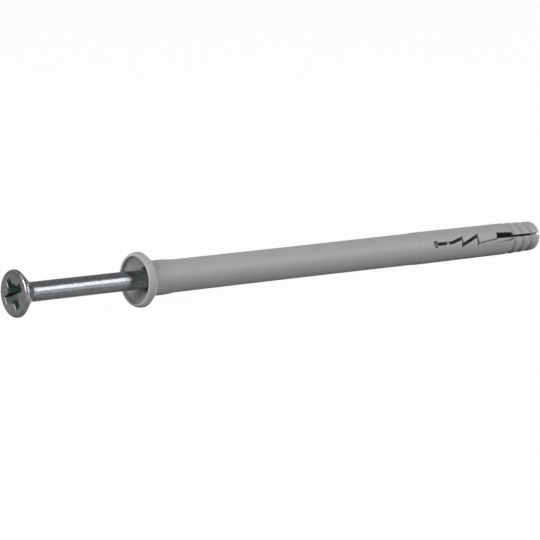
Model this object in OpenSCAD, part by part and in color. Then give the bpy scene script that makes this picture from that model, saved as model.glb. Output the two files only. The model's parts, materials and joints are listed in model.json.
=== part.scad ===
// Hammer fixing plug: a split sleeve with a countersunk collar and its pre-mounted nail-screw.
// The axis lies along +X, head end at -X, tip at +X. X = 0 is where the collar meets the sleeve's band.

/* [Sleeve] */
// Length of the sleeve below the collar
sleeve_len = 120; // [105:1:160]
// Diameter of the plain shank
shank_d = 7.5; // [7:0.05:7.8]
// Diameter of the band behind the collar
neck_d = 8; // [7.8:0.05:9]
// Length of that band
neck_len = 4.7; // [3:0.1:12]
// Length of the taper from the band to the shank
neck_taper = 2; // [0.5:0.1:4]

/* [Collar] */
// Height of the collar, from the band to the crest of its lip
collar_h = 3.75; // [3.5:0.05:6]
// Width of the rim outside the crest of the lip
rim_w = 0.75; // [0.3:0.05:2]
// Depth of the rim's widest line below the crest of the lip
rim_drop = 1.5; // [0.5:0.05:2]
// Width of the lip from the mouth to its crest
lip_w = 0.15; // [0.1:0.05:0.5]
// Chamfer on the inner edge of the lip
lip_chamfer = 0.1; // [0.05:0.05:0.4]
// Diameter of the edge at the back of the collar
back_d = 10.2; // [9:0.1:11]
// Length of the steep face from that edge down to the band
back_len = 0.75; // [0.3:0.05:1.2]
// Depth of the straight wall that takes the rim of the nail-screw's head
seat_depth = 1.05; // [0.8:0.05:1.5]
// Depth at which the funnel reaches the entry bore
funnel_depth = 3.4; // [2:0.1:3.5]
// Length of the entry bore, from the band's start
entry_len = 8; // [4:0.5:30]
// Length of the taper from the entry bore to the guide bore
entry_taper = 4; // [1:0.5:10]

/* [Spread zone] */
// Diameter of the spread zone at its start
spread_d = 7.86; // [7.6:0.02:8]
// Length of the spread zone, measured back from the tip
spread_len = 42; // [38:0.5:60]
// Length of the ramp from the shank up to the spread zone
spread_ramp = 34; // [1:0.5:40]
// Length of the plain stretch at the start of the spread zone
spread_plain = 5; // [2:0.1:5.2]
// Diameter of the spread zone where the rings start
rings_d = 7.76; // [7.4:0.02:7.9]
// Diameter of the last ring at the tip
tip_d = 7.2; // [6.8:0.05:7.6]
// Radius of the tip's edge
tip_round = 1; // [0.3:0.1:1.5]
// Angle of the slot above the horizontal
slot_roll = 16; // [-90:1:90]

/* [Rings] */
// Number of ring grooves
ring_count = 3; // [1:1:4]
// Distance between ring grooves
ring_pitch = 2.9; // [2.4:0.05:3.5]
// Distance from the tip to the nearest groove
ring_back = 3.3; // [2:0.1:4]
// Width of a groove
ring_w = 2.2; // [0.8:0.1:2.4]
// Depth of a groove
ring_depth = 0.5; // [0.1:0.05:0.6]

/* [Zigzag slot] */
// Diameter of the round hole where the slot starts
slot_hole_d = 1.9; // [1.2:0.1:2.4]
// Distance from the tip to that hole
slot_hole_back = 35.7; // [33:0.1:37]
// Depth of that hole
slot_hole_depth = 1.1; // [0.4:0.1:1.2]
// Width of the slot
slot_w = 0.85; // [0.4:0.05:1]
// Length of the straight stretch after the hole
slot_straight = 5.3; // [5:0.1:7]
// Distance from the hole to the web that bridges the slot
web_start = 4; // [2:0.1:4.2]
// Width of that web
web_w = 1; // [0.4:0.05:1]
// Depth of that web below the outside
web_depth = 0.5; // [0.1:0.05:1]
// Length of the first ramp
first_ramp = 3.5; // [2:0.1:5]
// Number of teeth
tooth_count = 2; // [1:1:2]
// Distance between teeth
tooth_pitch = 5.2; // [4:0.1:6]
// Width of the slot between and below the teeth
tooth_w = 0.85; // [0.4:0.05:0.9]
// Swing of a tooth to each side
tooth_swing = 0.9; // [0.4:0.05:1]
// Height that each further tooth reaches above the one before it
tooth_rise = 0.2; // [0:0.05:0.3]
// Width of the fine closed slits, from the last tooth to the window and along the back
closed_slit_w = 0.3; // [0.2:0.05:0.4]
// Thickness of the wall below a closed slit
closed_wall = 0.25; // [0.2:0.05:0.6]

/* [Window and slit] */
// Distance from the tip to the near edge of the window
window_back = 15.55; // [13:0.05:17]
// Length of the window
window_len = 6.65; // [5:0.05:7]
// Height of the window above the slit
window_h = 1.4; // [0.8:0.05:1.8]
// Fall of the window's upper edge towards the tip
window_fall = 0.4; // [0:0.05:0.5]
// Fall of the window's lower edge away from the tip
window_sag = 0.2; // [0:0.05:0.3]
// Length of the slanted ends of the window
end_slant = 0.4; // [0.2:0.1:1.5]
// Width of the spring bar below the window, at its left end
bar_w = 1.3; // [0.9:0.05:1.6]
// Width of the bar at its right end
bar_end_w = 0.45; // [0.35:0.05:0.8]
// Width of the slot below the bar where it is narrowest
bar_slot_min = 0.12; // [0.1:0.02:0.3]
// Width of the slot below the bar where it is widest
bar_slot_max = 0.5; // [0.3:0.05:0.7]
// Length of that slot's blunt right end
bar_nose = 1.2; // [0.6:0.1:1.6]
// Depth of that slot
bar_slot_depth = 1; // [0.2:0.1:1.2]
// Width of the slit from the window to the tip
slit_w = 0.6; // [0.2:0.05:0.8]
// Length of the flared notch at the end of the slit
notch_len = 0.5; // [0.3:0.1:2.5]
// Width of that notch at the tip
notch_w = 0.9; // [0.8:0.1:3]

/* [Nail-screw] */
// Diameter of the shank
nail_d = 4.4; // [3.8:0.05:4.6]
// Distance of the head's face ahead of the lip before it is driven
nail_out = 32.45; // [15:0.05:60]
// Distance from the driven point to the tip
point_back = 2.5; // [-8:0.1:5]
// Diameter of the head
head_d = 10.6; // [9.5:0.1:11]
// Height of the head's straight rim
head_rim = 0.85; // [0.4:0.05:1]
// Angle of the head's cone
head_angle = 90; // [80:1:100]
// Length of the blunt point
point_len = 3; // [1.5:0.1:6]
// Diameter of the point's flat end
point_d = 2; // [1:0.1:3]

/* [Cross recess] */
// Span of the cross across the face
recess_span = 7.3; // [5:0.1:7.6]
// Width of a wing
recess_w = 1.75; // [1:0.05:2]
// Depth of the cross
recess_depth = 2.9; // [2:0.1:3.2]
// Diameter of the core at the face
recess_mouth_d = 4.4; // [3:0.1:5]
// Diameter of the core at the bottom
recess_core_d = 2.4; // [1.6:0.1:3]
// Angle of the cross from the vertical
recess_roll = 32; // [0:1:90]

/* [Fits] */
// Clearance of the nail-screw's shank in the guide bore, on the radius
nail_clear = 0.075; // [0.03:0.005:0.1]
// Play of the nail-screw's shank in the entry bore, on the radius
entry_play = 0.55; // [0.3:0.05:0.8]
// Clearance of the head's rim in the mouth, on the radius
head_clear = 0.1; // [0.1:0.05:0.3]
// Gap that stays under the driven head
seat_gap = 0.1; // [0.05:0.05:0.3]

/* [Hidden] */
$fn = 96;
over = 1;                 // how far a cut runs past the surface
arc_steps = 6;            // steps in a quarter round
groove_steps = 8;         // steps across a ring groove

nail_r = nail_d / 2;
point_r = point_d / 2;
head_r = head_d / 2;
neck_r = neck_d / 2;
shank_r = shank_d / 2;
spread_r = spread_d / 2;
rings_r = rings_d / 2;
tip_r = tip_d / 2;
bore_r = nail_r + nail_clear;
point_hole_r = point_r + nail_clear;
slit_floor_r = bore_r + closed_wall;
entry_r = nail_r + entry_play;
mouth_r = head_r + head_clear;
crest_r = mouth_r + lip_w;
collar_r = crest_r + rim_w;
crest_x = -collar_h;

// The driven head's cone stops just above the edge between the funnel and the entry bore.
cone_slope = tan(head_angle / 2);
cone_h = (head_r - nail_r) / cone_slope;
face_to_edge = head_rim + (head_r - entry_r) / cone_slope;
driven_face_x = crest_x + funnel_depth - face_to_edge - seat_gap / sin(head_angle / 2);
driven_tip_x = sleeve_len - point_back;
nail_len = driven_tip_x - driven_face_x;
face_x = crest_x - nail_out;
nail_tip_x = face_x + nail_len;

core_flare = (recess_mouth_d - recess_core_d) / recess_depth;
back_r = back_d / 2;
spread_x = sleeve_len - spread_len;
ramp_x = max(neck_len + neck_taper + over, spread_x - spread_ramp);
first_ring_x = sleeve_len - ring_back - (ring_count - 1) * ring_pitch;
tip_fillet = min(tip_round, 0.9 * (ring_back - ring_w / 2));

hole_x = sleeve_len - slot_hole_back;
straight_x = hole_x + slot_straight;
first_peak_x = straight_x + first_ramp;
last_peak_x = first_peak_x + (tooth_count - 1) * tooth_pitch;
window_x = sleeve_len - window_back;
window_end_x = window_x + window_len;
through = 2 * (collar_r + over);

// Quarter of an ellipse about a centre [x, r], from angle a0 to a1, with half axes along x and r
function arc(c, half, a0, a1) =
    [for (i = [0:arc_steps]) let (a = a0 + (a1 - a0) * i / arc_steps)
        [c[0] + half[0] * cos(a), c[1] + half[1] * sin(a)]];

// Radius of the ring crests at x
function ring_r(x) =
    rings_r + (tip_r - rings_r) * max(0, x - first_ring_x) / (sleeve_len - first_ring_x);

// Soft groove centred on x
function groove(x) =
    [for (i = [0:groove_steps]) let (dx = ring_w * (i / groove_steps - 0.5))
        [x + dx, ring_r(x + dx) - ring_depth * (1 + cos(360 * dx / ring_w)) / 2]];

// Outside of the sleeve, as [x, r], from the lip to the tip
sleeve_outline = concat(
    [[crest_x, 0]],
    arc([crest_x + rim_drop, crest_r], [rim_drop, rim_w], 180, 90),
    [[-back_len, back_r], [0, neck_r], [neck_len, neck_r], [neck_len + neck_taper, shank_r],
     [ramp_x, shank_r], [spread_x, spread_r], [spread_x + spread_plain, spread_r]],
    [for (i = [0:ring_count - 1]) each groove(first_ring_x + i * ring_pitch)],
    arc([sleeve_len - tip_fillet, tip_r - tip_fillet], [tip_fillet, tip_fillet], 90, 0),
    [[sleeve_len, 0]]);

// Inside of the sleeve, as [x, r], from the mouth to the end of the guide bore, which follows the driven point
bore_outline = [
    [crest_x - over, 0],
    [crest_x - over, mouth_r + lip_chamfer + over],
    [crest_x + lip_chamfer, mouth_r],
    [crest_x + seat_depth, mouth_r],
    [crest_x + funnel_depth, entry_r],
    [entry_len, entry_r],
    [entry_len + entry_taper, bore_r],
    [driven_tip_x - point_len + nail_clear, bore_r],
    [driven_tip_x + nail_clear, point_hole_r],
    [driven_tip_x + nail_clear, 0]];

// Outside of the nail-screw, as [x, r], from the head's face to the point
nail_outline = [
    [face_x, 0],
    [face_x, head_r],
    [face_x + head_rim, head_r],
    [face_x + head_rim + cone_h, nail_r],
    [nail_tip_x - point_len, nail_r],
    [nail_tip_x, point_r],
    [nail_tip_x, 0]];

// Turns an outline of [x, r] points about the X axis
module turned(outline) {
    rotate([0, 90, 0])
        rotate_extrude()
            polygon([for (p = outline) [p[1], p[0]]]);
}

// Cuts a flat outline, drawn in X and up, into the front of the sleeve, down to floor_r from the axis
module front_cut(floor_r) {
    rotate([90 - slot_roll, 0, 0])
        translate([0, 0, floor_r])
            linear_extrude(height = through / 2 - floor_r)
                children();
}

// Flat outline of a straight cut of width w from p to q
module line(p, q, w) {
    translate(p)
        rotate(atan2(q[1] - p[1], q[0] - p[0]))
            translate([-w / 2, -w / 2])
                square([norm(q - p) + w, w]);
}

// Zigzag slot: a round hole, a straight stretch with its web, saw teeth and a closed slit to the window
module zigzag_slot() {
    front_cut(spread_r - slot_hole_depth) translate([hole_x, 0]) circle(d = slot_hole_d);
    front_cut(spread_r - web_depth) line([hole_x, 0], [straight_x, 0], slot_w);
    front_cut(0) {
        difference() {
            line([hole_x + (slot_hole_d + slot_w) / 2, 0], [straight_x, 0], slot_w);
            translate([hole_x + web_start, -slot_w]) square([web_w, 2 * slot_w]);
        }
        line([straight_x, 0], [first_peak_x, tooth_swing], slot_w);
        for (i = [0:tooth_count - 1]) {
            x = first_peak_x + i * tooth_pitch;
            line([x, tooth_swing + i * tooth_rise], [x, -tooth_swing], tooth_w);
            if (i < tooth_count - 1)
                line([x, -tooth_swing], [x + tooth_pitch, tooth_swing + (i + 1) * tooth_rise], tooth_w);
        }
    }
    front_cut(slit_floor_r) line([last_peak_x, -tooth_swing], [window_x, -window_sag], closed_slit_w);
}

// Window in the front and the shallow slot below its spring bar
module window() {
    front_cut(0)
        polygon([[window_x, -window_sag], [window_x + end_slant, window_h],
                 [window_end_x - end_slant, window_h - window_fall], [window_end_x, slit_w / 2],
                 [window_end_x, -slit_w / 2]]);
    front_cut(rings_r - bar_slot_depth)
        polygon([[window_x, -bar_w - bar_slot_min], [window_x, -bar_w],
                 [window_end_x - bar_nose, -bar_end_w], [window_end_x, -bar_end_w],
                 [window_end_x - bar_nose, -bar_end_w - bar_slot_max],
                 [window_end_x - 2 * bar_nose, -bar_w + bar_slot_min]]);
}

// Slit to the tip, closed at its end, the fine closed slit along the back, and the notch that they end in
module tip_slits() {
    front_cut(0) line([window_end_x, 0], [driven_tip_x - slit_w, 0], slit_w);
    front_cut(slit_floor_r) line([window_end_x, 0], [sleeve_len + over, 0], slit_w);
    rotate([180, 0, 0])
        front_cut(slit_floor_r) line([hole_x, 0], [sleeve_len + over, 0], closed_slit_w);
    rotate([90 - slot_roll, 0, 0])
        linear_extrude(height = through, center = true)
            polygon([[sleeve_len - notch_len, 0], [sleeve_len, notch_w / 2], [sleeve_len + over, notch_w / 2],
                     [sleeve_len + over, -notch_w / 2], [sleeve_len, -notch_w / 2]]);
}

// One wing pair of the cross recess, sloping in from its span to the core
module recess_wing() {
    translate([face_x, 0, 0])
        rotate([90, 0, 0])
            linear_extrude(height = recess_w, center = true)
                polygon([[-over, -recess_span / 2], [-over, recess_span / 2], [0, recess_span / 2],
                         [recess_depth, recess_core_d / 2], [recess_depth, -recess_core_d / 2],
                         [0, -recess_span / 2]]);
}

// Cross recess: two wing pairs and a tapering core
module cross_recess() {
    rotate([-recess_roll, 0, 0]) {
        recess_wing();
        rotate([90, 0, 0]) recess_wing();
    }
    translate([face_x - over, 0, 0])
        rotate([0, 90, 0])
            cylinder(d1 = recess_mouth_d + core_flare * over, d2 = recess_core_d, h = recess_depth + over);
}

module sleeve() {
    color("#9b9c99")
        difference() {
            turned(sleeve_outline);
            turned(bore_outline);
            zigzag_slot();
            window();
            tip_slits();
        }
}

module nail_screw() {
    color("#a4a7aa")
        difference() {
            turned(nail_outline);
            cross_recess();
        }
}

sleeve();
nail_screw();
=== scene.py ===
"""Looks of a hammer fixing plug: a slotted polyamide sleeve and a zinc-plated nail-screw, on a stage."""

import json
from math import cos, pi, radians, sin, tan

import bmesh
import bpy
from bpy.props import FloatProperty, FloatVectorProperty, IntProperty, PointerProperty
from mathutils import Matrix, Vector


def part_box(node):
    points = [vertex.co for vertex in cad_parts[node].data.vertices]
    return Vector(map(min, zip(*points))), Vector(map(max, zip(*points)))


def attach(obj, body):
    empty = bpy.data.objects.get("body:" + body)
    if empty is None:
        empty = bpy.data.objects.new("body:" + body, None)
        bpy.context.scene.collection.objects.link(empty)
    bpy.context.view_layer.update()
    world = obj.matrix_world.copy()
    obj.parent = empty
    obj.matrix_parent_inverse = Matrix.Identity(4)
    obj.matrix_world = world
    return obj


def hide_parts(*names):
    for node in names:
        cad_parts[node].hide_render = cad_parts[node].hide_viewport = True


bl_info = {
    "name": "Hammer Fixing Plug",
    "version": (1, 0, 0),
    "blender": (4, 5, 0),
    "location": "View3D > Sidebar > Fixing Plug",
    "description": "Models a moulded wall plug, its nail-screw and the stage they lie on",
    "category": "Object",
}

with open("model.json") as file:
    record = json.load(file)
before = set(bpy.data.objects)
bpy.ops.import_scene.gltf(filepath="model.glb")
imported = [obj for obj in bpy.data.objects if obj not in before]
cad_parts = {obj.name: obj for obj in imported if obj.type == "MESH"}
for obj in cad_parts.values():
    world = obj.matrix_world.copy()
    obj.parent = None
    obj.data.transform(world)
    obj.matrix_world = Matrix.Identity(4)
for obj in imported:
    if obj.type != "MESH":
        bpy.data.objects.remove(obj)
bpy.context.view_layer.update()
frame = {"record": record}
SLEEVE_LOW, SLEEVE_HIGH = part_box("sleeve")
NAIL_LOW, NAIL_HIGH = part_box("nail_screw")
MOUNTS = {mount["name"]: mount["dims"] for mount in frame["record"]["mounts"]}
BAND = MOUNTS["fixture_hole"]
SPREAD_START = MOUNTS["wall_hole"]
MM = 0.001

# Fineness of the meshes
TURN_STEPS = 192
HOLE_STEPS = 48
THREAD_TURN_STEPS = 48
FLOOR_STEPS = 96
ROUND_STEPS = 4
ARC_STEPS = 10
GROOVE_STEPS = 16
GRID_STEP = 0.8 * MM
WELD_DIST = 0.0005 * MM
CLEAN_DIST = 0.001 * MM
SHARP_ANGLE = radians(32)

# How far the cutters stand out past what they cut
CUT_OVER = 1 * MM
THREAD_OVER = 0.25 * MM
# The fine line round the lip: its place and half its width, in degrees round the rim's section
LIP_LINE_AT = 140
LIP_LINE_SPAN = 7
# Both ends of the thread's root, as shares of the groove's width
THREAD_ROOT = (0.6, 0.8)

# Polyamide: lengths of its grain and clouds, and spans of its shade and roughness
FULL = (0.0, 1.0)
GRAIN = 0.25 * MM
GRAIN_DEPTH = 0.02 * MM
CLOUD = (30 * MM, 4 * MM, 4 * MM)
POLYAMIDE_SHADE = (0.94, 1.06)
POLYAMIDE_ROUGH = (0.42, 0.58)
POLYAMIDE_IOR = 1.53
LIGHT_SHARE = 0.7
LIGHT_REACH = 1.5 * MM

# Zinc: lengths of its drawing lines and stains, and spans of its shade and roughness
DRAWN_LINE = (8 * MM, 0.2 * MM, 0.2 * MM)
DRAWN_DEPTH = 0.01 * MM
STAIN = 0.8 * MM
STAIN_SPAN = (0.3, 0.7)
ZINC_SHADE = (0.7, 1.25)
DRAWN_ROUGH = (0.14, 0.3)
DULL_ROUGH = (0.3, 0.5)
# How much of the rim's dullness gives way to bright zinc on the side toward the key lamp, as a painted
# highlight, and how little of the film looks like metal
LIT_SIDE_SHARE = 0.9
FILM_METAL = 0.2
# Where the zinc darkens under the head as painted shade, in heights of its rim, and where the film sets in,
# in worn edges
UNDER_HEAD = (0.8, 1.2)
FILM_START = (1, 4)

# The floor turns white where it is seen from less than 25 degrees above it, and is whitest below 15 degrees
FLOOR_RADIUS = 4.0
FLOOR_FACING = (0.58, 0.75)
FLOOR_WHITE = (0.0, 0.97)
CAMERA_CLIP = (0.01, 20)
# For each soft lamp: the direction it shines from, its distance, and the width and height of its panel
LAMPS = {
    "key": ((0.5635, -0.729, 0.388), 0.8, (1.25, 0.45)),
    "top": ((-0.2, 0.0, 0.98), 0.8, (0.5, 0.6)),
    "left": ((-0.9, -0.15, 0.4), 0.8, (0.4, 0.5)),
    "back": ((-0.3, 0.85, 0.5), 0.9, (0.8, 0.5)),
}


def length(name, description, default):
    """A size in metres that a user can change."""
    return FloatProperty(name=name, description=description, default=default, unit="LENGTH", precision=5)


def angle(name, description, degrees):
    """An angle that a user can change."""
    return FloatProperty(name=name, description=description, default=radians(degrees), unit="ROTATION")


def power(name, description, watts):
    """The power of a lamp that a user can change."""
    return FloatProperty(name=name, description=description, default=watts, unit="POWER")


def linear(hex_colour):
    """Turns an sRGB hex colour into linear RGBA."""
    channels = [int(hex_colour[i:i + 2], 16) / 255 for i in (1, 3, 5)]
    return [c / 12.92 if c <= 0.04045 else ((c + 0.055) / 1.055) ** 2.4 for c in channels] + [1.0]


def colour(name, description, hex_colour):
    """A colour that a user can change."""
    return FloatVectorProperty(name=name, description=description, default=linear(hex_colour),
                               size=4, min=0.0, max=1.0, subtype="COLOR")


WHITE = linear("#ffffff")


class SleeveSizes(bpy.types.PropertyGroup):
    """Sizes of the moulded sleeve."""

    crest_x: length("Lip", "Place of the lip's crest on the axis", SLEEVE_LOW.x)
    tip_x: length("Tip", "Place of the tip on the axis", SLEEVE_HIGH.x)
    collar_r: length("Collar radius", "Radius of the collar's rim", SLEEVE_HIGH.z)
    rim_w: length("Rim width", "Width of the rim outside the crest of the lip", 0.75 * MM)
    rim_drop: length("Rim drop", "Depth of the rim's widest line below the crest", 1.5 * MM)
    lip_w: length("Lip width", "Width of the lip from the mouth to its crest", 0.15 * MM)
    lip_line: length("Lip line", "Depth of the fine line round the outside of the lip", 0.1 * MM)
    back_r: length("Back radius", "Radius of the edge at the back of the collar", 5.1 * MM)
    back_len: length("Back length", "Length of the steep face from that edge to the band", 0.75 * MM)
    back_round: length("Back round", "Softness of both edges of that face", 0.3 * MM)
    seat_depth: length("Seat depth", "Depth of the straight wall in the mouth", 1.05 * MM)
    funnel_depth: length("Funnel depth", "Depth at which the funnel reaches the entry bore", 3.4 * MM)
    neck_r: length("Band radius", "Radius of the band behind the collar", BAND["r_mm"] * MM)
    neck_len: length("Band length", "Length of that band", BAND["length_mm"] * MM)
    neck_taper: length("Band taper", "Length of the taper from the band to the shank", 2 * MM)
    shank_r: length("Shank radius", "Radius of the plain shank", 3.75 * MM)
    spread_r: length("Spread radius", "Radius of the spread zone", SPREAD_START["r_mm"] * MM)
    spread_len: length("Spread length", "Length of the spread zone", 42 * MM)
    spread_ramp: length("Spread ramp", "Length of the ramp up to the spread zone", 34 * MM)
    step_at: length("Step", "Distance from the start of the spread zone to a fine step", 1.6 * MM)
    step_len: length("Step length", "Length of that step", 0.7 * MM)
    step_h: length("Step height", "Height of that step", 0.09 * MM)
    step_round: length("Step round", "Softness of both edges of that step", 0.15 * MM)
    spread_plain: length("Spread start", "Length of the plain stretch at the start of that zone", 5 * MM)
    rings_r: length("Rings radius", "Radius of the spread zone where the rings start", 3.88 * MM)
    tip_r: length("Tip radius", "Radius of the last ring at the tip", 3.6 * MM)
    tip_round: length("Tip round", "Radius of the tip's edge", 1 * MM)
    entry_r: length("Entry radius", "Radius of the entry bore", 2.75 * MM)
    entry_len: length("Entry length", "Length of the entry bore", 8 * MM)
    entry_round: length("Entry round", "Softness where the funnel meets the entry bore", 0.36 * MM)
    entry_taper: length("Entry taper", "Length of the taper to the guide bore", 4 * MM)
    bore_r: length("Bore radius", "Radius of the guide bore", 2.275 * MM)
    bore_back: length("Bore end", "Distance from the tip to the blind end of the bore", 2.425 * MM)
    bore_end_r: length("Bore end radius", "Radius of the bore's blind end", 1.075 * MM)
    bore_end_len: length("Bore end length", "Length over which the bore narrows to that end", 3 * MM)
    ring_count: IntProperty(name="Rings", description="Number of ring grooves", default=3)
    ring_pitch: length("Ring pitch", "Distance between ring grooves", 2.9 * MM)
    ring_back: length("Ring back", "Distance from the tip to the nearest groove", 3.3 * MM)
    ring_w: length("Ring width", "Width of a groove", 2.2 * MM)
    ring_depth: length("Ring depth", "Depth of a groove", 0.5 * MM)
    edge_round: length("Edge round", "Softness of the edges in the mouth", 0.12 * MM)
    blend_round: length("Blend round", "Softness where two stretches of the outside meet", 0.9 * MM)


class SlotSizes(bpy.types.PropertyGroup):
    """Sizes of the slots in the spread zone."""

    roll: angle("Roll", "Angle of the slot above the horizontal", 16)
    hole_r: length("Hole radius", "Radius of the round hole where the slot starts", 0.95 * MM)
    hole_back: length("Hole back", "Distance from the tip to that hole", 35.7 * MM)
    hole_depth: length("Hole depth", "Depth of that hole", 1.1 * MM)
    width: length("Slot width", "Width of the zigzag slot", 0.85 * MM)
    straight: length("Straight", "Length of the straight stretch after the hole", 5.3 * MM)
    web_start: length("Web", "Distance from the hole to the web that bridges the slot", 4.2 * MM)
    web_w: length("Web width", "Width of that web", 0.8 * MM)
    web_depth: length("Web depth", "Depth of that web below the outside", 0.7 * MM)
    first_ramp: length("First ramp", "Length of the first ramp", 3.5 * MM)
    tooth_count: IntProperty(name="Teeth", description="Number of teeth", default=2)
    tooth_pitch: length("Tooth pitch", "Distance between teeth", 5.2 * MM)
    tooth_swing: length("Tooth swing", "Swing of a tooth to each side", 0.85 * MM)
    tooth_rise: length("Tooth rise", "Height that each further tooth reaches above the last", 0.2 * MM)
    closed_w: length("Closed slit", "Width of the fine slits, to the window and along the back", 0.3 * MM)
    closed_wall: length("Closed wall", "Thickness of the wall below a closed slit", 0.25 * MM)
    window_back: length("Window back", "Distance from the tip to the far edge of the window", 15.55 * MM)
    window_len: length("Window length", "Length of the window", 6.65 * MM)
    window_h: length("Window height", "Height of the window above the slit", 1.4 * MM)
    window_fall: length("Window fall", "Fall of the window's upper edge", 0.4 * MM)
    window_sag: length("Window sag", "Fall of the window's lower edge away from the tip", 0.2 * MM)
    end_slant: length("End slant", "Length of the slanted ends of the window", 0.4 * MM)
    bar_w: length("Bar width", "Width of the spring bar below the window, at its left end", 1.3 * MM)
    bar_end_w: length("Bar end", "Width of the bar at its right end", 0.45 * MM)
    bar_slot_min: length("Bar slot", "Width of the slot below the bar at its narrow end", 0.12 * MM)
    bar_slot_max: length("Bar slot end", "Width of that slot where it is widest", 0.5 * MM)
    bar_nose: length("Bar nose", "Length of that slot's blunt right end", 1.2 * MM)
    bar_slot_depth: length("Bar slot depth", "Depth of that slot", 1 * MM)
    slit_w: length("Tip slit", "Width of the slit from the window to the tip", 0.6 * MM)
    notch_len: length("Notch length", "Length of the flared notch at the end of the slit", 0.5 * MM)
    notch_w: length("Notch width", "Width of that notch at the tip", 0.9 * MM)


class NailScrewSizes(bpy.types.PropertyGroup):
    """Sizes of the nail-screw."""

    face_x: length("Face", "Place of the head's face on the axis", NAIL_LOW.x)
    tip_x: length("Point", "Place of the point's end on the axis", NAIL_HIGH.x)
    head_r: length("Head radius", "Radius of the head", NAIL_HIGH.z)
    head_rim: length("Head rim", "Height of the head's straight rim", 0.85 * MM)
    head_angle: angle("Head angle", "Angle of the head's cone", 90)
    shank_r: length("Shank radius", "Radius of the shank", 2.2 * MM)
    point_len: length("Point length", "Length of the blunt point", 3 * MM)
    point_r: length("Point radius", "Radius of the point's flat end", 1 * MM)
    face_round: length("Face round", "Radius of the edge round the struck face", 0.65 * MM)
    rim_round: length("Rim round", "Softness of the head's other edge and of the point's", 0.12 * MM)
    neck_round: length("Neck round", "Reach of the fillet under the head", 0.7 * MM)
    recess_span: length("Recess span", "Span of the cross across the face", 7.3 * MM)
    recess_w: length("Recess width", "Width of a wing", 1.75 * MM)
    recess_depth: length("Recess depth", "Depth of the cross", 2.9 * MM)
    recess_mouth_r: length("Recess mouth", "Radius of the core at the face", 2.2 * MM)
    recess_core_r: length("Recess core", "Radius of the core at the bottom", 1.2 * MM)
    recess_edge: length("Recess edge", "Width of the worn edge round the cross", 0.08 * MM)
    recess_roll: angle("Recess roll", "Angle of the cross from the vertical", 32)
    thread_len: length("Thread length", "Length of the hammer thread, from the point", 58 * MM)
    thread_pitch: length("Thread pitch", "Pitch of the hammer thread", 2 * MM)
    thread_depth: length("Thread depth", "Depth of the hammer thread", 0.35 * MM)
    thread_w: length("Thread groove", "Width of the groove between two threads", 1.5 * MM)


class Finishes(bpy.types.PropertyGroup):
    """Colours of the finishes, some of them darkened as painted shade."""

    polyamide: colour("Polyamide", "Grey of the moulded sleeve", "#9b9c9a")
    zinc: colour("Zinc", "Bright zinc on the drawn shank", "#9a9da0")
    dull_zinc: colour("Dull zinc", "Zinc on the struck face of the head", "#767675")
    # Painted shade: darker zinc under the head, round the face's edge and on the thread inside the sleeve
    painted_shade_zinc: colour("Dark zinc", "Zinc under the head and on the thread", "#58595a")
    # The green film is a plating deposit, made darker as painted shade in the hollow
    recess: colour("Recess", "Dark green film in the cross recess", "#4c5f54")
    # Painted shadow: black in the lowest wing of the recess
    painted_shadow_black: colour("Dark film", "Black film in the lowest wing of the recess", "#141817")
    floor: colour("Floor", "Colour of the floor seen from above", "#b6b6b4")


class StageSettings(bpy.types.PropertyGroup):
    """Camera and lamps."""

    azimuth: angle("Azimuth", "Direction of the camera round the plug", -38.91)
    elevation: angle("Elevation", "Height of the camera above the horizon", 8.14)
    distance: length("Distance", "Distance of the camera from the point it looks at", 629.4 * MM)
    aim_x: length("Aim along", "Point on the axis that the camera looks at", 35.35 * MM)
    aim_z: length("Aim height", "Height of that point above the axis", -1.19 * MM)
    lens: FloatProperty(name="Lens", description="Focal length of the camera in millimetres", default=180.0)
    key_power: power("Key", "Power of the soft key lamp", 4.6)
    top_power: power("Top", "Power of the soft top lamp", 0.6)
    left_power: power("Left", "Power of the soft lamp at the left", 5.6)
    back_power: power("Back", "Power of the soft back lamp", 1.2)
    ambient: FloatProperty(name="Ambient", description="Strength of the light from all round", default=0.27)


def add_node(tree, kind, inputs=None, **settings):
    """Adds a node with its settings, and links or sets each input that is named or numbered."""
    node = tree.nodes.new(kind)
    for name, value in settings.items():
        setattr(node, name, value)
    for socket, value in (inputs or {}).items():
        if isinstance(value, bpy.types.NodeSocket):
            tree.links.new(value, node.inputs[socket])
        else:
            node.inputs[socket].default_value = value
    return node


def mapped(tree, value, source=FULL, target=FULL):
    """A value moved from one span of numbers to another, and held at the ends."""
    return add_node(tree, "ShaderNodeMapRange", {
        "Value": value, "From Min": source[0], "From Max": source[1],
        "To Min": target[0], "To Max": target[1]}).outputs[0]


def joined(tree, operation, first, second):
    """Two values joined by an operation."""
    return add_node(tree, "ShaderNodeMath", {0: first, 1: second}, operation=operation).outputs[0]


def blended(tree, share, first, second):
    """The first colour, with that share of the second in it."""
    return add_node(tree, "ShaderNodeMix", {0: share, 6: first, 7: second}, data_type="RGBA").outputs[2]


def stretched(tree, place, lengths):
    """A place counted in a length of its own along each axis."""
    scale = [1 / along for along in lengths]
    return add_node(tree, "ShaderNodeMapping", {"Vector": place, "Scale": scale}).outputs[0]


def noise(tree, place, scale, detail, roughness=0.5):
    """Cloudy noise at a place."""
    return add_node(tree, "ShaderNodeTexNoise", {
        "Vector": place, "Scale": scale, "Detail": detail, "Roughness": roughness}).outputs[0]


def new_material(name):
    """An empty node material."""
    material = bpy.data.materials.new(name)
    material.use_nodes = True
    material.node_tree.nodes.clear()
    return material


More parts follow.
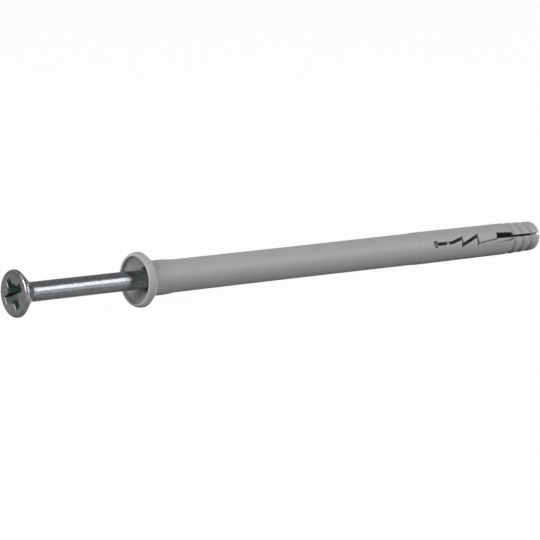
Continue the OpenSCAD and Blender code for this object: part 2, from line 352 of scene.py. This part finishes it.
def moulded_polyamide(finishes):
    """Polyamide moulded in an eroded tool: satin grey with a fine, even grain and a broad soft sheen."""
    material = new_material("moulded_polyamide")
    tree = material.node_tree
    place = add_node(tree, "ShaderNodeTexCoord").outputs["Object"]
    # Eroded tool surface, drawn coarse enough to show
    grain = noise(tree, place, 1 / GRAIN, 3.0)
    # Slow clouding of the pigment along the flow
    cloud = noise(tree, stretched(tree, place, CLOUD), 1.0, 2.0)
    tint = add_node(tree, "ShaderNodeHueSaturation", {
        "Value": mapped(tree, cloud, FULL, POLYAMIDE_SHADE), "Color": finishes.polyamide})
    gloss = mapped(tree, grain, FULL, POLYAMIDE_ROUGH)
    bump = add_node(tree, "ShaderNodeBump", {"Height": grain, "Strength": 0.25, "Distance": GRAIN_DEPTH})
    # Thin walls let a little light through
    shader = add_node(tree, "ShaderNodeBsdfPrincipled", {
        "Base Color": tint.outputs[0], "Roughness": gloss, "IOR": POLYAMIDE_IOR, "Normal": bump.outputs[0],
        "Subsurface Weight": LIGHT_SHARE, "Subsurface Radius": (1.0, 1.0, 1.0),
        "Subsurface Scale": LIGHT_REACH})
    add_node(tree, "ShaderNodeOutputMaterial", {"Surface": shader.outputs[0]})
    return material


def zinc_plated_steel(finishes, nail):
    """Zinc on drawn wire: a bright shank with fine lines, a dull head and thread, a dark green recess,
    painted shade under the head, on the thread and in the recess, and a painted highlight on the rim's lit
    side.
    """
    material = new_material("zinc_plated_steel")
    tree = material.node_tree
    place = add_node(tree, "ShaderNodeTexCoord").outputs["Object"]
    from_face = add_node(tree, "ShaderNodeMapping", {"Vector": place, "Location": (-nail.face_x, 0, 0)})
    depth = add_node(tree, "ShaderNodeSeparateXYZ", {"Vector": from_face.outputs[0]}).outputs["X"]
    side = add_node(tree, "ShaderNodeSeparateXYZ", {"Vector": place}).outputs["Y"]
    across = add_node(tree, "ShaderNodeMapping", {"Vector": place, "Scale": (0, 1, 1)}).outputs[0]
    radius = add_node(tree, "ShaderNodeVectorMath", {0: across}, operation="LENGTH").outputs["Value"]
    # The head is dull down to the shank, but its rim is bright zinc on the side toward the key lamp and
    # camera, a painted highlight
    head = mapped(tree, depth, (nail.head_rim, nail.head_r), (1.0, 0.0))
    edge = mapped(tree, radius, (nail.head_r - nail.face_round, nail.head_r - nail.rim_round))
    bright = mapped(tree, side, (-nail.shank_r, 0.0), (LIT_SIDE_SHARE, 0.0))
    dull_off_lit_side = joined(tree, "SUBTRACT", 1.0, joined(tree, "MULTIPLY", edge, bright))
    # The rolled thread is dull too; the darker zinc it takes below is painted shade from the sleeve round
    # it
    thread_start = nail.tip_x - nail.face_x - nail.thread_len
    thread = mapped(tree, depth, (thread_start, thread_start + nail.thread_pitch))
    dull = joined(tree, "MAXIMUM", joined(tree, "MULTIPLY", head, dull_off_lit_side), thread)
    # Painted shade: round the edge of the face, under the head and on the thread the dull zinc is darker
    below = mapped(tree, depth, [share * nail.head_rim for share in UNDER_HEAD])
    dim = blended(tree, joined(tree, "MAXIMUM", below, edge), finishes.dull_zinc, finishes.painted_shade_zinc)
    # A dark film stays in the recess: a green plating deposit, darkened further as painted shade in the
    # hollow
    inward = joined(tree, "ADD", depth, radius)
    inside = joined(tree, "LESS_THAN", inward, nail.head_r - nail.rim_round)
    sunk = mapped(tree, depth, [count * nail.recess_edge for count in FILM_START])
    recess = joined(tree, "MULTIPLY", inside, sunk)
    # Painted shadow makes the film black in the lowest wing, and painted light makes it grey in the wing
    # across from it
    wing = (0, -cos(nail.recess_roll), sin(nail.recess_roll))
    along = add_node(tree, "ShaderNodeVectorMath", {0: place, 1: wing}, operation="DOT_PRODUCT")
    low = mapped(tree, along.outputs["Value"], (-nail.recess_mouth_r, 0.0))
    high = mapped(tree, along.outputs["Value"], (0.0, nail.recess_mouth_r))
    film = blended(tree, low, finishes.painted_shadow_black, finishes.recess)
    film = blended(tree, high, film, finishes.dull_zinc)
    metal = blended(tree, recess, blended(tree, dull, finishes.zinc, dim), film)
    # Drawing lines along the wire
    lines = noise(tree, stretched(tree, place, DRAWN_LINE), 1.0, 3.0)
    # Crystals and stains of the plating
    stains = noise(tree, place, 1 / STAIN, 5.0, 0.7)
    shade = mapped(tree, stains, STAIN_SPAN, ZINC_SHADE)
    tint = add_node(tree, "ShaderNodeHueSaturation", {"Value": shade, "Color": metal})
    smooth = mapped(tree, lines, FULL, DRAWN_ROUGH)
    rough = mapped(tree, stains, FULL, DULL_ROUGH)
    gloss = add_node(tree, "ShaderNodeMix", {0: dull, 2: smooth, 3: rough})
    bump = add_node(tree, "ShaderNodeBump", {"Height": lines, "Strength": 0.15, "Distance": DRAWN_DEPTH})
    shader = add_node(tree, "ShaderNodeBsdfPrincipled", {
        "Base Color": tint.outputs[0], "Metallic": mapped(tree, recess, FULL, (1.0, FILM_METAL)),
        "Roughness": gloss.outputs[0], "Normal": bump.outputs[0]})
    add_node(tree, "ShaderNodeOutputMaterial", {"Surface": shader.outputs[0]})
    return material


def pale_floor(finishes):
    """Floor that glows white where it is seen from a shallow angle, a painted reflection of bright
    surroundings, and is pale grey from above.
    """
    material = new_material("satin_floor")
    tree = material.node_tree
    path = add_node(tree, "ShaderNodeLightPath").outputs
    seen = joined(tree, "MAXIMUM", path["Is Camera Ray"], path["Is Glossy Ray"])
    seen = joined(tree, "MAXIMUM", seen, path["Is Transmission Ray"])
    facing = add_node(tree, "ShaderNodeLayerWeight", {"Blend": 0.5}).outputs["Facing"]
    white = joined(tree, "MULTIPLY", seen, mapped(tree, facing, FLOOR_FACING, FLOOR_WHITE))
    sheet = add_node(tree, "ShaderNodeBsdfDiffuse", {"Color": finishes.floor})
    glow = add_node(tree, "ShaderNodeEmission", {"Color": WHITE, "Strength": 1.0})
    mix = add_node(tree, "ShaderNodeMixShader", {0: white, 1: sheet.outputs[0], 2: glow.outputs[0]})
    add_node(tree, "ShaderNodeOutputMaterial", {"Surface": mix.outputs[0]})
    return material


def to_object(mesh, name):
    """Turns a bmesh into an object at the origin."""
    data = bpy.data.meshes.new(name)
    mesh.to_mesh(data)
    mesh.free()
    piece = bpy.data.objects.new(name, data)
    bpy.context.scene.collection.objects.link(piece)
    return piece


def turned(outline):
    """Turns an outline of (x, radius, reach of the round at that corner) about the X axis."""
    mesh = bmesh.new()
    corners = [mesh.verts.new((x, 0.0, r)) for x, r, _ in outline]
    for first, second in zip(corners, corners[1:]):
        mesh.edges.new((first, second))
    for corner, (_, _, reach) in zip(corners, outline):
        if reach:
            bmesh.ops.bevel(mesh, geom=[corner], affect="VERTICES", offset=reach, offset_type="OFFSET",
                            segments=ROUND_STEPS, profile=0.5, material=-1)
    bmesh.ops.spin(mesh, geom=mesh.verts[:] + mesh.edges[:], cent=(0, 0, 0), axis=(1, 0, 0), angle=2 * pi,
                   steps=TURN_STEPS, use_merge=True)
    bmesh.ops.remove_doubles(mesh, verts=mesh.verts, dist=WELD_DIST)
    bmesh.ops.recalc_face_normals(mesh, faces=mesh.faces)
    return mesh


def on_ellipse(centre, half, degrees):
    """The corner (x, radius, no round) at an angle on an ellipse."""
    turn = radians(degrees)
    return (centre[0] + half[0] * cos(turn), centre[1] + half[1] * sin(turn), 0)


def arc(centre, half, start, end):
    """Corners on an ellipse, from one angle in degrees to another."""
    return [on_ellipse(centre, half, start + (end - start) * i / ARC_STEPS) for i in range(ARC_STEPS + 1)]


def push(mesh, made, start_y, end_y):
    """Moves the new corners of an extrusion from one depth along Y to another."""
    far = [item for item in made["geom"] if isinstance(item, bmesh.types.BMVert)]
    bmesh.ops.translate(mesh, verts=far, vec=(0, end_y - start_y, 0))


def extruded(outline, start_y, end_y):
    """A flat outline of (x, height) points as a prism from one depth along Y to another."""
    mesh = bmesh.new()
    face = mesh.faces.new([mesh.verts.new((x, start_y, z)) for x, z in outline])
    push(mesh, bmesh.ops.extrude_face_region(mesh, geom=[face]), start_y, end_y)
    bmesh.ops.recalc_face_normals(mesh, faces=mesh.faces)
    return mesh


def ribbon(line, width, start_y, end_y):
    """A blade of that width along a line of (x, height) points, from one depth along Y to another."""
    mesh = bmesh.new()
    points = [mesh.verts.new((x, start_y, z)) for x, z in line]
    edges = [mesh.edges.new(pair) for pair in zip(points, points[1:])]
    push(mesh, bmesh.ops.extrude_edge_only(mesh, edges=edges), start_y, end_y)
    blade = to_object(mesh, "blade")
    thick = blade.modifiers.new("thickness", "SOLIDIFY")
    thick.thickness = width
    thick.offset = 0.0
    thick.use_even_offset = True
    return blade


def cut(piece, cutters):
    """Takes the cutters' shapes out of a piece, one after the other, and deletes the cutters."""
    for cutter in cutters:
        taken = piece.modifiers.new(cutter.name, "BOOLEAN")
        taken.operation = "DIFFERENCE"
        taken.solver = "EXACT"
        taken.object = cutter
    result = piece.evaluated_get(bpy.context.evaluated_depsgraph_get())
    piece.data = bpy.data.meshes.new_from_object(result)
    piece.modifiers.clear()
    for cutter in cutters:
        bpy.data.objects.remove(cutter)


def finish_piece(piece, name, body, material):
    """Cleans a piece, shades it smooth between its edges, and puts it on its body in place of its node."""
    mesh = bmesh.new()
    mesh.from_mesh(piece.data)
    bmesh.ops.remove_doubles(mesh, verts=mesh.verts, dist=CLEAN_DIST)
    bmesh.ops.dissolve_degenerate(mesh, edges=mesh.edges, dist=CLEAN_DIST)
    # Merging leaves hairline gaps
    bmesh.ops.holes_fill(mesh, edges=mesh.edges, sides=0)
    bmesh.ops.triangulate(mesh, faces=[face for face in mesh.faces if len(face.verts) > 4])
    bmesh.ops.recalc_face_normals(mesh, faces=mesh.faces)
    mesh.to_mesh(piece.data)
    mesh.free()
    piece.data.shade_smooth()
    piece.data.set_sharp_from_angle(angle=SHARP_ANGLE)
    piece.name = name
    piece.data.materials.clear()
    piece.data.materials.append(material)
    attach(piece, body)
    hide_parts(body)


def first_ring(size):
    """Place on the axis of the middle of the first ring groove."""
    return size.tip_x - size.ring_back - (size.ring_count - 1) * size.ring_pitch


def sleeve_outside(size):
    """The sleeve's outside, as corners of (x, radius, round), from the lip's crest to the tip's middle."""
    rim = (size.crest_x + size.rim_drop, size.collar_r - size.rim_w)
    half = (size.rim_drop, size.rim_w)
    sunk = (size.rim_drop - size.lip_line, size.rim_w - size.lip_line)
    spread_x = size.tip_x - size.spread_len
    step_x = spread_x + size.step_at
    plain_x = spread_x + size.spread_plain
    first_ring_x = first_ring(size)
    rings_x = first_ring_x - size.ring_w / 2
    fall = (size.tip_r - size.rings_r) / (size.tip_x - first_ring_x)
    soft = size.blend_round
    outline = arc(rim, half, 180, LIP_LINE_AT + LIP_LINE_SPAN)
    outline.append(on_ellipse(rim, sunk, LIP_LINE_AT))
    outline += arc(rim, half, LIP_LINE_AT - LIP_LINE_SPAN, 90)
    outline += [(-size.back_len, size.back_r, size.back_round), (0, size.neck_r, size.back_round),
                (size.neck_len, size.neck_r, soft), (size.neck_len + size.neck_taper, size.shank_r, soft),
                (spread_x - size.spread_ramp, size.shank_r, soft),
                (step_x - size.step_len, size.spread_r - size.step_h, size.step_round),
                (step_x, size.spread_r, size.step_round)]
    grid_count = int((rings_x - plain_x) / GRID_STEP)
    for i in range(grid_count):
        share = i / grid_count
        radius = size.spread_r + share * (size.rings_r - size.spread_r)
        outline.append((plain_x + share * (rings_x - plain_x), radius, 0))
    for ring in range(size.ring_count):
        middle = first_ring_x + ring * size.ring_pitch
        for i in range(GROOVE_STEPS + 1):
            share = i / GROOVE_STEPS - 0.5
            x = middle + share * size.ring_w
            crest_r = size.rings_r + fall * max(0, x - first_ring_x)
            outline.append((x, crest_r - size.ring_depth * (1 + cos(2 * pi * share)) / 2, 0))
    edge = (size.tip_x - size.tip_round, size.tip_r - size.tip_round)
    return outline + arc(edge, (size.tip_round, size.tip_round), 90, 0) + [(size.tip_x, 0, 0)]


def sleeve_bore(size):
    """The sleeve's inside, as corners of (x, radius, round), from the bore's blind end to the lip."""
    mouth_r = size.collar_r - size.rim_w - size.lip_w
    end_x = size.tip_x - size.bore_back
    narrow_x = end_x - size.bore_end_len
    guide_x = size.entry_len + size.entry_taper
    outline = [(end_x, 0, 0), (end_x, size.bore_end_r, 0)]
    grid_count = int(size.spread_len / GRID_STEP)
    outline += [(narrow_x - i * GRID_STEP, size.bore_r, 0) for i in range(grid_count)]
    return outline + [(guide_x, size.bore_r, 0), (size.entry_len, size.entry_r, 0),
                      (size.crest_x + size.funnel_depth, size.entry_r, size.entry_round),
                      (size.crest_x + size.seat_depth, mouth_r, size.edge_round),
                      (size.crest_x, mouth_r, size.edge_round)]


def slot_cutters(size, sleeve):
    """The blades that leave the zigzag slot, the window and the slits, turned to the slot's roll."""
    reach = sleeve.collar_r
    far_x = sleeve.tip_x + CUT_OVER
    bore_end_x = sleeve.tip_x - sleeve.bore_back
    hole_x = sleeve.tip_x - size.hole_back
    web_x = hole_x + size.web_start
    straight_x = hole_x + size.straight
    window_x = sleeve.tip_x - size.window_back
    window_end_x = window_x + size.window_len
    nose_x = window_end_x - size.bar_nose
    slit_x = window_end_x - size.slit_w
    half_slit = size.slit_w / 2
    half_notch = size.notch_w / 2
    hole_floor = sleeve.spread_r - size.hole_depth
    closed_floor = sleeve.bore_r + size.closed_wall
    bar_floor = size.bar_slot_depth - sleeve.rings_r
    # The zigzag runs from the web over the teeth, and a fine slit goes on from it to the window
    zigzag = [(web_x + size.web_w, 0), (straight_x, 0)]
    for tooth in range(size.tooth_count):
        peak_x = straight_x + size.first_ramp + tooth * size.tooth_pitch
        zigzag += [(peak_x, size.tooth_swing + tooth * size.tooth_rise), (peak_x, -size.tooth_swing)]
    closed = [zigzag[-1], (window_x + size.closed_w, -size.window_sag)]
    zigzag.append((zigzag[-1][0], -size.tooth_swing - size.width / 2))
    window = [(window_x, -size.window_sag), (window_x + size.end_slant, size.window_h),
              (window_end_x - size.end_slant, size.window_h - size.window_fall),
              (window_end_x, half_slit), (window_end_x, -half_slit)]
    bar_slot = [(window_x, -size.bar_w - size.bar_slot_min), (window_x, -size.bar_w),
                (nose_x, -size.bar_end_w), (window_end_x, -size.bar_end_w),
                (nose_x, -size.bar_end_w - size.bar_slot_max),
                (nose_x - size.bar_nose, -size.bar_w + size.bar_slot_min)]
    notch = [(sleeve.tip_x - size.notch_len, 0), (sleeve.tip_x, half_notch), (far_x, half_notch),
             (far_x, -half_notch), (sleeve.tip_x, -half_notch)]
    hole = bmesh.new()
    across = Matrix.Translation((hole_x, -(reach + hole_floor) / 2, 0)) @ Matrix.Rotation(pi / 2, 4, "X")
    bmesh.ops.create_cone(hole, cap_ends=True, segments=HOLE_STEPS, radius1=size.hole_r,
                          radius2=size.hole_r, depth=reach - hole_floor, matrix=across)
    # The slit to the tip goes down to the axis, and past the bore's end only to a closed floor
    slit = extruded([(slit_x, 0), (bore_end_x, 0), (bore_end_x, closed_floor), (far_x, closed_floor),
                     (far_x, reach), (slit_x, reach)], -half_slit, half_slit)
    bmesh.ops.rotate(slit, verts=slit.verts, matrix=Matrix.Rotation(pi / 2, 3, "X"))
    cutters = [to_object(hole, "hole"),
               ribbon([(hole_x + size.hole_r, 0), (web_x, 0)], size.width, -reach, 0),
               ribbon([(hole_x, 0), (straight_x, 0)], size.width, -reach, size.web_depth - sleeve.spread_r),
               ribbon(zigzag, size.width, -reach, 0),
               ribbon(closed, size.closed_w, -reach, -closed_floor),
               ribbon([(hole_x, 0), (far_x, 0)], size.closed_w, closed_floor, reach),
               to_object(slit, "slit")]
    cutters += [to_object(extruded(outline, -reach, end_y), "opening")
                for outline, end_y in ((window, 0), (bar_slot, bar_floor), (notch, reach))]
    for cutter in cutters:
        cutter.data.transform(Matrix.Rotation(-size.roll, 4, "X"))
    return cutters


class FIXINGPLUG_OT_sleeve(bpy.types.Operator):
    """Model the moulded sleeve with its collar, rings and slots"""

    bl_idname = "fixing_plug.sleeve"
    bl_label = "Sleeve"

    def execute(self, context):
        scene = context.scene
        size = scene.plug_sleeve
        sleeve = to_object(turned(sleeve_bore(size) + sleeve_outside(size)), "sleeve_blank")
        cut(sleeve, slot_cutters(scene.plug_slots, size))
        finish_piece(sleeve, "moulded_sleeve", "sleeve",
                     moulded_polyamide(scene.plug_finishes))
        return {"FINISHED"}


def nail_outline(size):
    """The nail-screw's section, as corners of (x, radius, round), from its face's middle to its point."""
    cone_h = (size.head_r - size.shank_r) / tan(size.head_angle / 2)
    return [(size.face_x, 0, 0), (size.face_x, size.head_r, size.face_round),
            (size.face_x + size.head_rim, size.head_r, size.rim_round),
            (size.face_x + size.head_rim + cone_h, size.shank_r, size.neck_round),
            (size.tip_x - size.point_len, size.shank_r, 0),
            (size.tip_x, size.point_r, size.rim_round), (size.tip_x, 0, 0)]


def recess_cutters(size):
    """Two tapering wing pairs and a tapering core for the cross recess, each with a worn edge."""
    core = size.recess_core_r
    edge = size.recess_edge
    half_span = size.recess_span / 2
    half_wing = size.recess_w / 2
    over_x = size.face_x - CUT_OVER
    deep_x = size.face_x + size.recess_depth
    wing = [(over_x, -half_span), (over_x, half_span), (size.face_x, half_span),
            (deep_x, core), (deep_x, -core), (size.face_x, -half_span)]
    cutters = []
    for quarter in range(2):
        turn = Matrix.Rotation(quarter * pi / 2 - size.recess_roll, 3, "X")
        worn = bmesh.new()
        for x, grown in ((size.face_x - edge, 2 * edge), (size.face_x + edge, 0)):
            for side, end in ((-1, -1), (-1, 1), (1, -1), (1, 1)):
                worn.verts.new((x, side * (half_wing + grown), end * (half_span - edge + grown)))
        bmesh.ops.convex_hull(worn, input=worn.verts)
        for mesh in (extruded(wing, -half_wing, half_wing), worn):
            bmesh.ops.rotate(mesh, verts=mesh.verts, matrix=turn)
            cutters.append(to_object(mesh, "wing"))
    flare = (size.recess_mouth_r - core) / size.recess_depth
    for depth, over, deep_r, slope in ((size.recess_depth, CUT_OVER, core, flare),
                                       (edge, edge, size.recess_mouth_r - flare * edge, 1)):
        mesh = bmesh.new()
        middle = Matrix.Translation((size.face_x + (depth - over) / 2, 0, 0))
        bmesh.ops.create_cone(mesh, cap_ends=True, segments=HOLE_STEPS, depth=depth + over,
                              matrix=middle @ Matrix.Rotation(pi / 2, 4, "Y"),
                              radius1=deep_r + slope * (depth + over), radius2=deep_r)
        cutters.append(to_object(mesh, "core"))
    return cutters


def thread_cutter(size):
    """The helical groove of the right-hand hammer thread, whose steep flank faces the head."""
    turns = int(size.thread_len / size.thread_pitch) + 1
    start_x = size.tip_x - size.thread_len
    root_x, root_end_x = [start_x + share * size.thread_w for share in THREAD_ROOT]
    steps = turns * THREAD_TURN_STEPS
    top_r = size.shank_r + THREAD_OVER
    root_r = size.shank_r - size.thread_depth
    mesh = bmesh.new()
    section = [(start_x, top_r), (start_x + size.thread_w, top_r), (root_end_x, root_r), (root_x, root_r)]
    face = mesh.faces.new([mesh.verts.new((x, 0, r)) for x, r in section])
    bmesh.ops.spin(mesh, geom=face.verts[:] + face.edges[:] + [face], cent=(0, 0, 0), axis=(1, 0, 0),
                   dvec=(turns * size.thread_pitch / steps, 0, 0), angle=2 * pi * turns, steps=steps)
    bmesh.ops.remove_doubles(mesh, verts=mesh.verts, dist=WELD_DIST)
    bmesh.ops.recalc_face_normals(mesh, faces=mesh.faces)
    return to_object(mesh, "thread")


class FIXINGPLUG_OT_nail_screw(bpy.types.Operator):
    """Model the zinc-plated nail-screw with its head, recess and thread"""

    bl_idname = "fixing_plug.nail_screw"
    bl_label = "Nail-screw"

    def execute(self, context):
        scene = context.scene
        size = scene.plug_nail
        nail = to_object(turned(nail_outline(size)), "nail_blank")
        cut(nail, recess_cutters(size) + [thread_cutter(size)])
        finish_piece(nail, "zinc_nail_screw", "nail_screw",
                     zinc_plated_steel(scene.plug_finishes, size))
        return {"FINISHED"}


def add_lamp(name, direction, distance, panel, watts, target):
    """A soft rectangular lamp that shines on the target from that direction."""
    light = bpy.data.lights.new(name, "AREA")
    light.shape = "RECTANGLE"
    light.size, light.size_y = panel
    light.energy = watts
    lamp = bpy.data.objects.new(name, light)
    away = Vector(direction).normalized()
    lamp.location = target + away * distance
    lamp.rotation_euler = away.to_track_quat("Z", "Y").to_euler()
    bpy.context.scene.collection.objects.link(lamp)


def add_floor(sleeve, material):
    """A wide round floor that touches the collar's rim and the start of the rings."""
    rim_x = sleeve.crest_x + sleeve.rim_drop
    foot_x = first_ring(sleeve) - sleeve.ring_w / 2
    lie = Matrix.Identity(4)
    lie[2][0] = (sleeve.collar_r - sleeve.rings_r) / (foot_x - rim_x)
    lie = Matrix.Translation((rim_x, 0, -sleeve.collar_r)) @ lie
    mesh = bmesh.new()
    bmesh.ops.create_circle(mesh, cap_ends=True, segments=FLOOR_STEPS, radius=FLOOR_RADIUS)
    bmesh.ops.transform(mesh, verts=mesh.verts, matrix=lie)
    floor = to_object(mesh, "floor")
    floor.data.materials.append(material)


def add_camera(stage, target):
    """The camera at the photograph's angle."""
    lens = bpy.data.cameras.new("camera")
    lens.lens = stage.lens
    lens.clip_start, lens.clip_end = CAMERA_CLIP
    camera = bpy.data.objects.new("camera", lens)
    level = cos(stage.elevation)
    back = Vector((sin(stage.azimuth) * level, -cos(stage.azimuth) * level, sin(stage.elevation)))
    camera.location = target + back * stage.distance
    camera.rotation_euler = back.to_track_quat("Z", "Y").to_euler()
    bpy.context.scene.collection.objects.link(camera)
    bpy.context.scene.camera = camera


class FIXINGPLUG_OT_stage(bpy.types.Operator):
    """Set up the floor, the soft lamps, the world and the camera"""

    bl_idname = "fixing_plug.stage"
    bl_label = "Stage"

    def execute(self, context):
        scene = context.scene
        stage = scene.plug_stage
        target = Vector((stage.aim_x, 0, stage.aim_z))
        add_floor(scene.plug_sleeve, pale_floor(scene.plug_finishes))
        for name, (direction, distance, panel) in LAMPS.items():
            watts = getattr(stage, name + "_power")
            add_lamp(name + "_lamp", direction, distance, panel, watts, target)
        world = bpy.data.worlds.new("studio")
        world.use_nodes = True
        tree = world.node_tree
        tree.nodes.clear()
        glow = add_node(tree, "ShaderNodeBackground", {"Color": WHITE, "Strength": stage.ambient})
        add_node(tree, "ShaderNodeOutputWorld", {"Surface": glow.outputs[0]})
        scene.world = world
        scene.view_settings.view_transform = "Standard"
        add_camera(stage, target)
        return {"FINISHED"}


class FIXINGPLUG_PT_panel(bpy.types.Panel):
    """Sizes, finishes and steps of the fixing plug"""

    bl_label = "Fixing Plug"
    bl_space_type = "VIEW_3D"
    bl_region_type = "UI"
    bl_category = "Fixing Plug"

    def draw(self, context):
        layout = self.layout
        for operator in OPERATORS:
            layout.operator(operator.bl_idname)
        for group in GROUPS:
            settings = getattr(context.scene, group)
            box = layout.box()
            for name in settings.__annotations__:
                box.prop(settings, name)


GROUPS = {"plug_sleeve": SleeveSizes, "plug_slots": SlotSizes, "plug_nail": NailScrewSizes,
          "plug_finishes": Finishes, "plug_stage": StageSettings}
OPERATORS = [FIXINGPLUG_OT_sleeve, FIXINGPLUG_OT_nail_screw, FIXINGPLUG_OT_stage]


def register():
    """Registers the classes and hangs the settings on the scene."""
    for cls in [*GROUPS.values(), *OPERATORS, FIXINGPLUG_PT_panel]:
        bpy.utils.register_class(cls)
    for name, group in GROUPS.items():
        setattr(bpy.types.Scene, name, PointerProperty(type=group))


def unregister():
    """Takes the settings and the classes away again."""
    for name in GROUPS:
        delattr(bpy.types.Scene, name)
    for cls in [FIXINGPLUG_PT_panel, *reversed(OPERATORS), *reversed(GROUPS.values())]:
        bpy.utils.unregister_class(cls)


def main():
    """Models the plug and its stage."""
    register()
    bpy.ops.fixing_plug.sleeve()
    bpy.ops.fixing_plug.nail_screw()
    bpy.ops.fixing_plug.stage()


if __name__ == "__main__":
    main()
